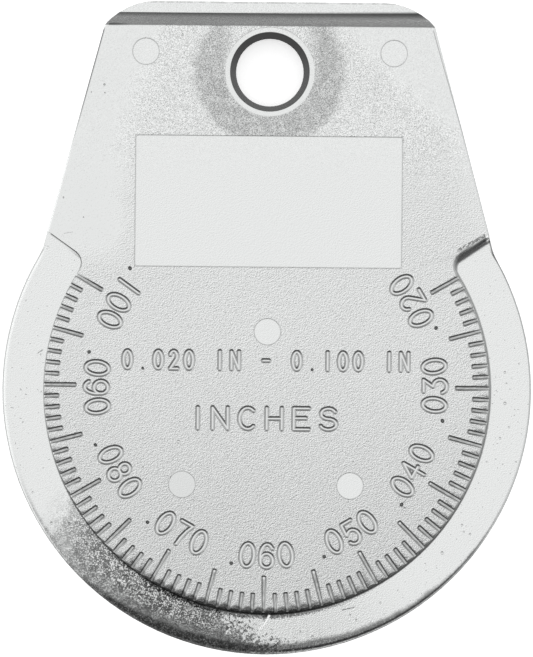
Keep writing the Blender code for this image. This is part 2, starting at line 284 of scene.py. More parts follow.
def ringPlaces(labels, turnOf, dotAt):
    # each label's three figures stand round the dial with their heads to its centre
    places = []
    for label in labels:
        turn = turnOf(label)
        for i, figure in enumerate(label.replace(".", "")):
            places.append((figure, turn + marks["firstOffset"] + marks["pitch"] * i))
        places.append((".", turn + dotAt))
    found = []
    size = (marks["figureHeight"], marks["figureHeight"], 1)
    for figure, turn in places:
        radius = marks["baseRadius"] - (marks["dotRise"] if figure == "." else 0)
        foot = Vector((math.cos(turn), math.sin(turn), 0)) * radius
        found.append((figure, foot, turn + math.pi / 2, size))
    return found


def linePlaces(words, height, share, pitch, narrow, feet):
    steps = [pitch * (narrow if figure == "I" else 1) for figure in words]
    along = -sum(steps) / 2
    found = []
    for figure, step in zip(words, steps):
        if figure != " ":
            foot = Vector((along + step / 2, feet, 0))
            found.append((figure, foot, 0.0, (height * share, height, 1)))
        along += step
    return found


def scratchPlaces(body):
    # each on the metal below it, as heights off the front face
    found = []
    for x, y, length, degrees in fineLines["scratches"]:
        turn = math.radians(degrees)
        middle = (x + length * math.cos(turn) / 2, y + length * math.sin(turn) / 2)
        foot = Vector((x * mm, y * mm, drop(body, *middle)))
        found.append(("line", foot, turn, (length * mm, 1, 1)))
    for x, y, wide, tall, degrees in fineLines["ovals"]:
        foot = Vector((x * mm, y * mm, drop(body, x, y)))
        found.append(("ring", foot, math.radians(degrees), (wide * mm, tall * mm, 1)))
    return found


def drop(body, x, y):
    # how far the metal at x and y, in mm, lies under the front face, as a height
    struck, place = body.ray_cast(Vector((x * mm, y * mm, 1)), Vector((0, 0, -1)))[:2]
    return place.z - thickness if struck else 0.0


def engravingTree():
    graph, given = startTree("Engraving", {
        "Figures": "NodeSocketCollection",
        "Stroke Width": "NodeSocketFloat",
        "Floor Width": "NodeSocketFloat",
        "Depth": "NodeSocketFloat",
        "Lift": "NodeSocketFloat",
        "Tool Sides": "NodeSocketInt",
        "Metal": "NodeSocketMaterial",
    })
    sources = graph.node(
        "GeometryNodeCollectionInfo", None,
        {"Collection": given["Figures"], "Separate Children": True, "Reset Children": True},
    )
    turn = graph.node("ShaderNodeCombineXYZ", None, {2: graph.attribute("turn", "FLOAT")})
    placed = graph.node(
        "GeometryNodeInstanceOnPoints", None,
        {
            "Points": given["Geometry"],
            "Instance": sources,
            "Pick Instance": True,
            "Instance Index": graph.attribute("figure", "INT"),
            "Rotation": turn,
            "Scale": graph.attribute("size", "FLOAT_VECTOR"),
        },
    )
    strokes = graph.node("GeometryNodeRealizeInstances", None, {0: placed})
    strokes = graph.node("GeometryNodeSetCurveNormal", {"mode": "Z_UP"}, {"Curve": strokes})

    # the tool's width where it leaves the metal, so that its sides keep one slope
    slope = (given["Stroke Width"] - given["Floor Width"]) / given["Depth"]
    wide = (given["Stroke Width"] + slope * given["Lift"]) * 0.5
    narrow = given["Floor Width"] * 0.5
    depth, lift = given["Depth"], given["Lift"]
    corners = [
        graph.node("ShaderNodeCombineXYZ", None, {0: across, 1: down})
        for across, down in ((wide, -lift), (-wide, -lift), (-narrow, depth), (narrow, depth))
    ]
    section = graph.node(
        "GeometryNodeCurvePrimitiveQuadrilateral", {"mode": "POINTS"},
        {"Point %d" % (i + 1): corner for i, corner in enumerate(corners)},
    )
    swept = graph.node(
        "GeometryNodeCurveToMesh", None, {"Curve": strokes, "Profile Curve": section, "Fill Caps": True}
    )

    tool = graph.node(
        "GeometryNodeMeshCone", None,
        {
            "Vertices": given["Tool Sides"],
            "Radius Top": wide,
            "Radius Bottom": narrow,
            "Depth": depth + lift,
        },
    )
    toolDrop = graph.node("ShaderNodeCombineXYZ", None, {2: -depth})
    tool = graph.node("GeometryNodeTransform", None, {"Geometry": tool, "Translation": toolDrop})
    ends = graph.node("GeometryNodeCurveEndpointSelection", None, {"Start Size": 1, "End Size": 1})
    closed = graph.node("GeometryNodeInputSplineCyclic")
    openEnds = graph.node("FunctionNodeBooleanMath", {"operation": "NIMPLY"}, {0: ends, 1: closed})
    tips = graph.node(
        "GeometryNodeInstanceOnPoints", None, {"Points": strokes, "Selection": openEnds, "Instance": tool}
    )
    joined = graph.tree.nodes.new("GeometryNodeJoinGeometry")
    graph.tree.links.new(tips.socket, joined.inputs[0])
    graph.tree.links.new(swept.socket, joined.inputs[0])
    return endTree(graph, Value(graph, joined.outputs[0]), given["Metal"])


def runTree(name, mesh, tree, given):
    # the tree's result on a mesh, as a plain mesh
    holder = bpy.data.objects.new(name, mesh)
    bpy.context.scene.collection.objects.link(holder)
    modifier = holder.modifiers.new(name, "NODES")
    modifier.node_group = tree
    for item in tree.interface.items_tree:
        if item.in_out == "INPUT" and item.name in given:
            modifier[item.identifier] = given[item.name]
    bpy.context.view_layer.update()
    evaluated = holder.evaluated_get(bpy.context.evaluated_depsgraph_get())
    result = bpy.data.meshes.new_from_object(evaluated)
    bpy.data.objects.remove(holder)
    return result


def pointMesh(name, points, attributes):
    # loose points that carry the named values
    mesh = bpy.data.meshes.new(name)
    mesh.from_pydata(points, [], [])
    for attribute, (kind, values) in attributes.items():
        slot = "vector" if kind == "FLOAT_VECTOR" else "value"
        mesh.attributes.new(attribute, kind, "POINT").data.foreach_set(slot, values)
    return mesh


def engravingTool(name, places, tree, given, settle):
    # for all the places but the dots, which are pits
    strokes = [place for place in places if place[0] != "."]
    mesh = pointMesh(name, [foot for figure, foot, turn, size in strokes], {
        "figure": ("INT", [figureOrder.index(figure) for figure, foot, turn, size in strokes]),
        "turn": ("FLOAT", [turn for figure, foot, turn, size in strokes]),
        "size": ("FLOAT_VECTOR", [part for figure, foot, turn, size in strokes for part in size]),
    })
    tool = runTree(name, mesh, tree, given)
    tool.transform(settle)
    return tool


def inchTurn(label):
    turned = (float(label) * inch - casting["thinnest"]) / (casting["thickest"] - casting["thinnest"])
    return casting["scaleStart"] - turned * scaleSweep


def metricTurn(label):
    # seen from the back, where the scale runs the other way round
    turned = (float(label) * mm - casting["thinnest"]) / (casting["thickest"] - casting["thinnest"])
    return math.pi - casting["scaleStart"] + turned * scaleSweep


def engrave(body, metal):
    tree = engravingTree()
    collection = figureCurves()
    inchLabels = [".%03d" % thousandths for thousandths in range(20, 101, 10)]
    metricLabels = ["%.2f" % (hundredths / 100) for hundredths in range(50, 251, 25)]
    dial = casting["dialCentre"]
    front = Matrix.Translation((dial.x, dial.y, thickness))
    back = Matrix.Translation((dial.x, dial.y, 0)) @ Matrix.Rotation(math.pi, 4, "Y")
    frontPlaces = ringPlaces(inchLabels, inchTurn, marks["dotOffset"])
    for line in marks["frontLines"]:
        frontPlaces += linePlaces(*line)
    betweenFigures = marks["firstOffset"] + marks["pitch"] / 2
    backPlaces = ringPlaces(metricLabels, metricTurn, betweenFigures)
    for line in marks["backLines"]:
        backPlaces += linePlaces(*line)
    given = {
        "Figures": collection,
        "Stroke Width": marks["strokeWidth"],
        "Floor Width": marks["floorWidth"],
        "Depth": marks["strokeDepth"],
        "Lift": marks["lift"],
        "Tool Sides": marks["toolSides"],
        "Metal": metal,
    }
    scratch = dict(given)
    scratch.update({
        "Stroke Width": fineLines["width"],
        "Floor Width": fineLines["floorWidth"],
        "Depth": fineLines["depth"],
        "Tool Sides": fineLines["toolSides"],
    })
    face = Matrix.Translation((0, 0, thickness))
    tools = [
        engravingTool("frontMarks", frontPlaces, tree, given, front),
        engravingTool("backMarks", backPlaces, tree, given, back),
        engravingTool("scratches", scratchPlaces(body), tree, scratch, face),
        pitTool(body, metal, dotPits(frontPlaces, front) + dotPits(backPlaces, back)),
    ]
    cutAway(body, tools)
    print("engraved", len(frontPlaces), "marks in front,", len(backPlaces), "behind")


def dotPits(places, settle):
    # a dot is a small round pit, given by its place, its radius and its depth against that
    found = []
    for figure, foot, turn, size in places:
        if figure == ".":
            inLine = size[1] != marks["figureHeight"]  # not round the dial
            radius = marks["lineDotRadius"] if inLine else marks["dotRadius"]
            found.append((settle @ foot, radius, marks["dotDepth"]))
    return found


# Pits: single ones where the plate has blistered, and many on the crusted part of the rim.
pits = {
    "depth": 0.42,  # of a pit against its radius
    "single": [  # mm: across, up, radius
        (21.17, -0.96, 0.13), (21.14, 1.79, 0.11), (20.75, -4.06, 0.10), (21.54, -3.08, 0.08),
        (-7.79, -4.6, 0.12), (7.6, -19.9, 0.09), (8.14, -20.32, 0.10), (-20.09, 2.99, 0.08),
        (15.71, -14.3, 0.13), (17.46, -11.81, 0.10), (18.18, -12.6, 0.09), (17.64, -12.42, 0.07),
        (4.26, -21.86, 0.13), (3.19, -21.43, 0.10), (10.26, -18.79, 0.09), (12.3, -10.4, 0.16),
        (-14.65, 26.98, 0.09), (-14.6, 26.25, 0.06), (-7.77, 31.45, 0.11), (-18.19, 16.93, 0.07),
        (-20.69, -9.25, 0.09), (-16.4, 15.2, 0.06),
        (-15.8, 26.3, 0.05), (-10.9, -6.9, 0.07), (13.9, 24.2, 0.07),
    ],
    "crustCount": 45,
    "crustRadii": (0.06, 0.14),  # mm
    "crustTurns": (-150, -98),  # degrees round the disc
    "crustMargins": (0.7, 1.0),  # mm from the wall and from the outline
    "stretch": (0.85, 1.2),  # along one side, against the other
    "detail": 2,
    "seed": 11,
}


def pitTree():
    graph, given = startTree("Pits", {
        "Detail": "NodeSocketInt",
        "Narrowest": "NodeSocketFloat",
        "Widest": "NodeSocketFloat",
        "Seed": "NodeSocketInt",
        "Metal": "NodeSocketMaterial",
    })

    def randomValue(least, most):
        values = {2: least, 3: most, "Seed": given["Seed"]}
        return graph.node("FunctionNodeRandomValue", {"data_type": "FLOAT"}, values, 1)

    ball = graph.node("GeometryNodeMeshIcoSphere", None, {"Radius": 1.0, "Subdivisions": given["Detail"]})
    radius = graph.attribute("radius", "FLOAT")
    deep = graph.attribute("deep", "FLOAT")
    stretch = randomValue(given["Narrowest"], given["Widest"])
    turned = randomValue(0.0, math.tau)
    sizes = graph.node("ShaderNodeCombineXYZ", None, {0: radius * stretch, 1: radius, 2: radius * deep})
    placed = graph.node(
        "GeometryNodeInstanceOnPoints", None,
        {
            "Points": given["Geometry"],
            "Instance": ball,
            "Rotation": graph.node("ShaderNodeCombineXYZ", None, {2: turned}),
            "Scale": sizes,
        },
    )
    return endTree(graph, placed, given["Metal"])


def pitTool(body, metal, dots):
    random.seed(pits["seed"])
    places = list(pits["single"])
    offWall, offOutline = pits["crustMargins"]
    inner, outer = casting["rimInner"] + offWall * mm, casting["discRadius"] - offOutline * mm
    least, most = pits["crustRadii"]
    for i in range(pits["crustCount"]):
        turn = math.radians(random.uniform(*pits["crustTurns"]))
        out = random.uniform(inner, outer) / mm
        radius = least + (most - least) * random.random() ** 2  # small ones are more frequent
        places.append((out * math.cos(turn), out * math.sin(turn), radius))
    sunk = [
        (Vector((x * mm, y * mm, thickness + drop(body, x, y))), radius * mm, pits["depth"])
        for x, y, radius in places
    ]
    sunk += dots
    mesh = pointMesh("pits", [place for place, radius, deep in sunk], {
        "radius": ("FLOAT", [radius for place, radius, deep in sunk]),
        "deep": ("FLOAT", [deep for place, radius, deep in sunk]),
    })
    narrowest, widest = pits["stretch"]
    given = {
        "Detail": pits["detail"],
        "Narrowest": narrowest,
        "Widest": widest,
        "Seed": pits["seed"],
        "Metal": metal,
    }
    print("pits in", len(places), "places")
    return runTree("pits", mesh, pitTree(), given)


def cutAway(body, tools):
    # all of them as one cutter, whose parts may overlap
    bm = bmesh.new()
    for tool in tools:
        bm.from_mesh(tool)
    bmesh.ops.remove_doubles(bm, verts=bm.verts, dist=sameCorner)
    bmesh.ops.recalc_face_normals(bm, faces=bm.faces)
    joined = bpy.data.meshes.new("cutter")
    bm.to_mesh(joined)
    bm.free()
    joined.materials.append(body.data.materials[0])
    cutter = bpy.data.objects.new("cutter", joined)
    bpy.context.scene.collection.objects.link(cutter)
    cutting = body.modifiers.new("Engraving", "BOOLEAN")
    cutting.operation = "DIFFERENCE"
    cutting.solver = "EXACT"
    cutting.use_self = True
    cutting.object = cutter
    bpy.context.view_layer.update()
    evaluated = body.evaluated_get(bpy.context.evaluated_depsgraph_get())
    finished = bpy.data.meshes.new_from_object(evaluated)
    body.modifiers.clear()
    body.data = finished
    bpy.data.objects.remove(cutter)


# Edges that bend more than this stay sharp: in a face's middle, where cuts are crisp, and elsewhere.
shading = {
    "fieldBend": math.radians(22),
    "otherBend": math.radians(62),
    "margin": 0.3 * mm,  # of the handle's middle off its outline
    "rimMargins": (0.45 * mm, 0.7 * mm),  # of the rim's off the wall and off the outline
    "rimTop": 10 * mm,
    "handleFoot": casting["discRadius"] * 0.62,
    "normalWeight": 60,
}


def inField(point):
    radius = math.hypot(point.x, point.y)
    if radius < casting["rimInner"] - casting["rimTopRound"] - 0.03 * mm:
        return True
    offWall, offOutline = shading["rimMargins"]
    onRim = casting["rimInner"] + offWall < radius < casting["discRadius"] - offOutline
    if onRim and point.y < shading["rimTop"]:
        return True
    across = abs(point.x) * math.cos(casting["sideLean"]) + point.y * math.sin(casting["sideLean"])
    onHandle = shading["handleFoot"] < point.y < casting["tongueFoot"] - shading["margin"]
    return onHandle and across < casting["sideDistance"] - shading["margin"]


def shadeEdges(mesh):
    bm = bmesh.new()
    bm.from_mesh(mesh)
    for face in bm.faces:
        face.smooth = True
    for edge in bm.edges:
        bend = edge.calc_face_angle(math.pi)
        crisp = inField((edge.verts[0].co + edge.verts[1].co) / 2)
        edge.smooth = bend < (shading["fieldBend"] if crisp else shading["otherBend"])
    bm.to_mesh(mesh)
    bm.free()


def makeCasting(metal):
    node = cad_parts["gauge_body"]
    mesh = node.data.copy()
    mesh.materials.clear()
    mesh.materials.append(metal)
    bm = bmesh.new()
    bm.from_mesh(mesh)
    bmesh.ops.remove_doubles(bm, verts=bm.verts, dist=sameCorner)
    bm.to_mesh(mesh)
    bm.free()
    body = bpy.data.objects.new("gaugeCasting", mesh)
    bpy.context.scene.collection.objects.link(body)
    engrave(body, metal)
    shadeEdges(body.data)
    weighting = body.modifiers.new("Weighted normals", "WEIGHTED_NORMAL")
    weighting.keep_sharp = True
    weighting.mode = "FACE_AREA"
    weighting.weight = shading["normalWeight"]
    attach(body, "root")
    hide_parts("gauge_body")
    print("casting:", len(body.data.polygons), "faces")


# Metal: bright plate over die-cast zinc, grainy on the field and smooth where the die was polished.
finish = {
    # what a place reflects, or how much of it is gained or lost there
    "smoothTone": 0.79,
    "fieldTone": 0.743,  # below the panel
    "fieldBrightest": 0.80,
    "footLoss": 0.10,  # darker towards the foot of the dial
    "handleGain": 0.02,
    "stripGain": 0.085,  # along the left flank and in the top corners
    "patchGain": 0.04,
    "haloLoss": 0.26,  # a darker ring round the hole
    "wornLoss": 0.1,  # between the crust and the clean rim
    "outlineLoss": 0.5,  # of the thin line round the rim
    # painted shade in the corner at the wall's foot
    "wallFootShadeLoss": 0.80,
    "outlineShadeLoss": 0.76,  # of the painted shade on the outline at the bottom
    "speckGain": 0.2,  # of the painted shade at the wall's foot and on the outline that a clean speck breaks
    "pinholeLoss": 0.4,
    "pepperLoss": 0.08,  # of fine dark grains
    "fieldPepperLoss": 0.2,  # more on the field
    "wallTone": 0.46,
    "wallShade": 0.7,  # against that, on a wall that faces down the picture
    "wallGain": 0.6,  # more on one that faces up it
    "crestLoss": 0.55,
    "grooveTone": 0.92,  # of a groove's floor
    "tickLoss": 0.36,  # more on the graduations
    "streakGain": 0.9,
    "scrapeTone": 0.97,
    "pinLineLoss": 0.26,
    "dullPinShare": 0.36,  # of that, on the pin that the plate covers poorly
    "sideLineLoss": 0.4,
    # painted shade on the shoulder's slope
    "shoulderShade": 0.42,
    "shoulderFootShade": 0.36,  # more painted shade at its foot, in the corner
    "holeShadeTone": 0.072,  # painted shade on the wall inside the hole
    "holeTopShade": 0.7,
    "redShare": 0.985,
    "blueShare": 0.993,
    # turns in degrees from the disc's right, where a thing sets in, is full, fades and is gone
    "crustTurns": (-158, -140, -111, -101),
    "wornTurns": (-118, -98, -80, -50),
    "outlineShadeTurns": (-147, -110, -85, -15),
    "wallFootShadeTurns": (-142, -112, -88, -45),
    "crustSlants": (7, 17),  # degrees that the crust's start and end lag behind at the outline
    "crustFray": (16, 14, 50),  # degrees that its start and end wander, and that its end is torn
    # grain: how strong in each place, and how it lies
    "fieldGrain": 0.75,
    "footGrain": 0.3,
    "haloGrain": 0.3,
    "handleGrain": 0.1,
    "stripCalm": 0.7,
    "smoothGrain": 0.17,
    "wornGrain": 0.45,
    "shoulderGrain": 0.35,
    "grainTone": 2.2,
    "grainShift": (0.0, 0.05 * mm, 0.0),
    "grainStretch": (0.75, 1.0, 1.0),
    "grainTurn": math.radians(-32),
    "rippleHeight": 0.04,  # mm
    "crustHeight": 0.11,  # mm
    "edgeSoftness": 0.04 * mm,
    "fieldRoughness": 0.30,
    "smoothRoughness": 0.22,
    "crustRoughness": 0.42,
    "holeRoughness": 0.25,  # above that of the smooth places
    # places: mm, and the way a mark runs
    "pinRadius": 1.18,
    "pins": [(-11.0, 29.97), (11.0, 29.97), (0.0, 5.2), (-7.45, -8.4), (7.45, -8.4)],
    "dullPin": (-7.45, -8.4),
    "notchWear": (17.54, 12.97, math.radians(30)),
    "scrape": (-0.4, -21.24, math.radians(57)),
    "panelSize": (23.66, 11.63),
    "panelHeight": 16.74,
}

# The plate's noises: size in mm, detail, roughness and distortion.
noises = {
    "wobble": (1.5, 3, 0.6),  # which moves the limits of each patch
    "patches": (5, 3, 0.55),
    "cloud": (0.9, 3, 0.6),
    "torn": (0.25, 3, 0.65),
    "broken": (0.6, 3, 0.7),
    "ragged": (0.16, 2, 0.6),
    "speck": (0.14, 2, 0.6),
    "clump": (0.6, 2, 0.5),
    "curl": (0.42, 1, 0.5, 1.2),
    "lift": (1.1, 2, 0.5),
    "pinhole": (0.24, 1, 0.5),
    "pepper": (0.12, 1, 0.5),
    "streak": (0.13, 2, 0.6),
    "grain": (0.075, 1, 0.5),
    "ripple": (0.2, 2, 0.5, 0.6),
}


def noiseOf(graph, name, place):
    size, *others = noises[name]
    return graph.noise(place, size * mm, *others)


def readPlace(graph):
    place = graph.node("ShaderNodeTexCoord", None, None, "Object")
    x, y, z = graph.split(place)
    flat = graph.node("ShaderNodeCombineXYZ", None, {0: x, 1: y, 2: 0.0})
    offHole = graph.node("ShaderNodeCombineXYZ", None, {0: x, 1: y - casting["holeHeight"], 2: 0.0})
    normal = graph.split(graph.node("ShaderNodeNewGeometry", None, None, "Normal"))
    across = graph.math("ABSOLUTE", x) * math.cos(casting["sideLean"]) + y * math.sin(casting["sideLean"])
    return {
        "place": place,
        "x": x,
        "y": y,
        "flat": flat,
        "radius": graph.vector("LENGTH", flat, output="Value"),
        "turn": graph.math("ARCTAN2", y, x) * (180 / math.pi),
        "offHole": graph.vector("LENGTH", offHole, output="Value"),
        "depth": half - graph.math("ABSOLUTE", z - half),
        "front": graph.rise(z, half - 0.1 * mm, half + 0.1 * mm),
        "facing": normal[1],
        "tilt": 1 - graph.math("ABSOLUTE", normal[2]),
        "inFromSide": casting["sideDistance"] - across,
        "wobble": noiseOf(graph, "wobble", place) - 0.5,
        "speck": noiseOf(graph, "speck", place),
        "clump": noiseOf(graph, "clump", place),
    }


def smoothStrips(graph, spot):
    # the left flank and both top corners, where the grain dies out
    x, y, wobble = spot["x"], spot["y"], spot["wobble"] * (4 * mm)
    leftLine = x - graph.math("MAXIMUM", y - 24 * mm, 0.0) * 0.37 + wobble
    left = graph.fall(leftLine, -14.5 * mm, -11 * mm) * graph.rise(y, 10 * mm, 14 * mm)
    rightLine = x + (y - 24.8 * mm) * 1.06 + wobble
    right = graph.rise(rightLine, 12.5 * mm, 16.5 * mm) * graph.rise(y, 10 * mm, 14 * mm)
    flanks = graph.fall(spot["inFromSide"], 0.3 * mm, 2.6 * mm) * 0.35
    return graph.largest(left, right * 0.9, flanks)


def holeHalo(graph, spot):
    # thick on the left, right and below, none above
    off = spot["offHole"] + spot["wobble"] * (1.6 * mm)
    ring = graph.rise(spot["offHole"], 3.92 * mm, 4.06 * mm) * graph.fall(off, 6.0 * mm, 7.2 * mm)
    below = graph.fall(spot["y"], casting["holeHeight"] - 1 * mm, casting["holeHeight"] + 1.5 * mm)
    beside = graph.rise(graph.math("ABSOLUTE", spot["x"]), 2.7 * mm, 4.6 * mm)
    cloud = graph.rise(noiseOf(graph, "cloud", spot["place"]), 0.2, 0.62) * 0.5 + 0.5
    return ring * graph.largest(below, beside) * cloud * spot["front"]


def rimCrust(graph, spot):
    # a coarse patch that crosses the rim slantwise at its lower left, and its turn along the slant
    share = (spot["radius"] - casting["rimInner"]) * (1 / casting["rimWidth"])
    torn = noiseOf(graph, "torn", spot["place"]) - 0.5
    startLag, endLag = finish["crustSlants"]
    startFray, endFray, tear = finish["crustFray"]
    slant = spot["turn"] - share * startLag + spot["wobble"] * startFray
    end = spot["turn"] - share * endLag + spot["wobble"] * endFray + torn * tear
    start, full, fading, gone = finish["crustTurns"]
    patch = graph.rise(slant, start, full) * graph.fall(end, fading, gone)
    return patch * spot["front"], slant


def pinLines(graph, spot):
    # the joint round each of the die's pins and the panel, and the pin that the plate covers poorly
    def distance(x, y):
        return graph.vector("DISTANCE", spot["flat"], (x * mm, y * mm, 0), output="Value")

    nearest = None
    for x, y in finish["pins"]:
        off = distance(x, y)
        nearest = off if nearest is None else graph.math("MINIMUM", nearest, off)
    pinRadius = finish["pinRadius"] * mm
    ring = graph.fall(graph.math("ABSOLUTE", nearest - pinRadius), 0.02 * mm, 0.08 * mm)
    dull = graph.fall(distance(*finish["dullPin"]), pinRadius - 0.05 * mm, pinRadius)
    wide, tall = finish["panelSize"]
    across = graph.math("ABSOLUTE", spot["x"]) - wide * mm / 2
    along = graph.math("ABSOLUTE", spot["y"] - finish["panelHeight"] * mm) - tall * mm / 2
    border = graph.fall(graph.math("ABSOLUTE", graph.largest(across, along)), 0.03 * mm, 0.09 * mm)
    return graph.largest(ring, border, dull * finish["dullPinShare"]) * spot["front"]


def strip(graph, spot, values, reach, halfWidth):
    # a straight mark through a place, which runs from and to the given distances along its turn
    x, y, turn = values
    right, up = spot["x"] - x * mm, spot["y"] - y * mm
    along = right * math.cos(turn) + up * math.sin(turn)
    off = graph.math("ABSOLUTE", up * math.cos(turn) - right * math.sin(turn))
    start, end = reach
    ends = graph.rise(along, start * mm, (start + 0.3) * mm) * graph.fall(along, (end - 0.1) * mm, end * mm)
    return graph.fall(off, halfWidth * 0.4, halfWidth) * ends


def sideLines(graph, spot):
    x, y = spot["x"], spot["y"]
    belowTongue = graph.fall(y, 31.8 * mm, 32.2 * mm)
    # the right flank's second edge, which runs into the outline halfway down
    inward = graph.rise(y, 20 * mm, 33 * mm) * (0.27 * mm) + 0.02 * mm
    off = graph.math("ABSOLUTE", spot["inFromSide"] - inward)
    second = graph.fall(off, 0.02 * mm, 0.07 * mm) * graph.rise(x, 0, 1 * mm)
    second = second * graph.rise(y, 14 * mm, 20 * mm) * belowTongue
    # the right outline below that, heaviest at the neck
    inFromOutline = graph.largest(spot["inFromSide"], casting["discRadius"] - spot["radius"])
    heavy = graph.within(y, 11 * mm, 12.2 * mm, 13.7 * mm, 14.2 * mm)
    right = graph.fall(inFromOutline - heavy * (0.07 * mm), 0.04 * mm, 0.10 * mm)
    right = right * graph.rise(x, 13 * mm, 14 * mm) * (heavy * 0.6 + 0.9)
    right = right * graph.within(y, 8.5 * mm, 10 * mm, 18 * mm, 21 * mm)
    # the left flank's edge, which fades downwards
    left = graph.fall(spot["inFromSide"], 0.08 * mm, 0.16 * mm) * graph.rise(y, 19 * mm, 27 * mm)
    left = left * graph.fall(x, -1 * mm, 0) * belowTongue
    # the tongue's end, and the ragged crest of the end wall at the rim's thin end
    broken = graph.rise(noiseOf(graph, "broken", spot["place"]), 0.38, 0.56)
    top = graph.rise(y, high.y - 0.2 * mm, high.y - 0.1 * mm) * broken
    ragged = graph.rise(noiseOf(graph, "ragged", spot["place"]), 0.4, 0.52)
    ragged = ragged * strip(graph, spot, finish["notchWear"], (-1, 2), 0.2 * mm)
    return graph.largest(second, right, left * 1.9, top * 0.6, ragged * 1.7) * spot["front"]


def readMasks(graph, spot):
    # each kind of surface, 1 on it and 0 off it
    y, radius, turn, depth = (spot[name] for name in ("y", "radius", "turn", "depth"))
    rim = graph.rise(depth, 0.09 * mm, 0.12 * mm) * graph.fall(y, 13.2 * mm, 14.2 * mm)
    rim = rim * graph.rise(radius, casting["rimInner"] - 0.1 * mm, casting["rimInner"] + 0.05 * mm)
    crust, slant = rimCrust(graph, spot)
    shoulder = graph.rise(y, casting["tongueFoot"] - 0.05 * mm, casting["tongueFoot"] + 0.05 * mm)
    worn = rim * graph.within(turn, *finish["wornTurns"]) * spot["front"]
    return {
        "field": graph.fall(depth, 0.012 * mm, 0.028 * mm),
        "rim": rim,
        "strips": smoothStrips(graph, spot),
        "halo": holeHalo(graph, spot),
        "crust": crust * rim,
        "darker": graph.rise(slant, -150, -118),  # along the crust
        "worn": worn,
        "foot": graph.rise(y, 9 * mm, -24 * mm),
        "handle": graph.rise(y, 16 * mm, 22 * mm),
        "shoulder": shoulder * graph.rise(spot["tilt"], 0.05, 0.12),
        "hole": graph.fall(spot["offHole"], casting["holeRadius"], casting["holeRadius"] + 0.06 * mm),
        "clean": graph.rise(spot["speck"] * 0.82 + spot["clump"] * 0.18, 0.505, 0.58),  # specks of it
    }


def cleanTone(graph, spot, mask):
    field = mask["field"]
    level = finish["fieldTone"] - mask["foot"] * finish["footLoss"] + mask["handle"] * finish["handleGain"]
    level = level + mask["strips"] * finish["stripGain"]
    level = graph.math("MINIMUM", level, finish["fieldBrightest"]) - mask["halo"] * finish["haloLoss"]
    level = level * field + (1 - field) * finish["smoothTone"]
    patches = noiseOf(graph, "patches", spot["place"]) - 0.5
    return level + patches * field * finish["patchGain"]


# The crust: scale with clean specks, its dark tone painted shade standing for a dark reflection, calmer
# towards the outline, with curls where it has lifted.
scaleAndShadeTones = {
    "base": 0.15,
    "calmGain": 0.05,
    "calmSpeckLoss": 0.85,
    "paleGain": 0.16,  # where the crust begins
    "clumpGain": 0.25,
    "curlCover": 0.2,
    "curlGain": 0.5,
    "darkest": 0.08,
    "brightest": 1.0,
}


def crustAndShadeTone(graph, spot, mask):
    calm = graph.rise(spot["radius"] + spot["wobble"] * (1.4 * mm), 21.1 * mm, 22.3 * mm)
    calm = calm * (mask["darker"] * 0.4 + 0.6)
    scale = mask["clean"] * (1 - calm * scaleAndShadeTones["calmSpeckLoss"]) + scaleAndShadeTones["base"]
    scale = scale + calm * scaleAndShadeTones["calmGain"] + (1 - mask["darker"]) * scaleAndShadeTones["paleGain"]
    scale = scale + (spot["clump"] - 0.5) * scaleAndShadeTones["clumpGain"]
    curls = graph.fall(graph.math("ABSOLUTE", noiseOf(graph, "curl", spot["place"]) - 0.5), 0.015, 0.06)
    curls = curls * graph.rise(noiseOf(graph, "lift", spot["place"]), 0.47, 0.55)
    scale = scale * (1 - curls * scaleAndShadeTones["curlCover"])
    scale = scale + curls * (1 - calm * 0.5) * scaleAndShadeTones["curlGain"]
    return graph.largest(graph.math("MINIMUM", scale, scaleAndShadeTones["brightest"]), scaleAndShadeTones["darkest"])


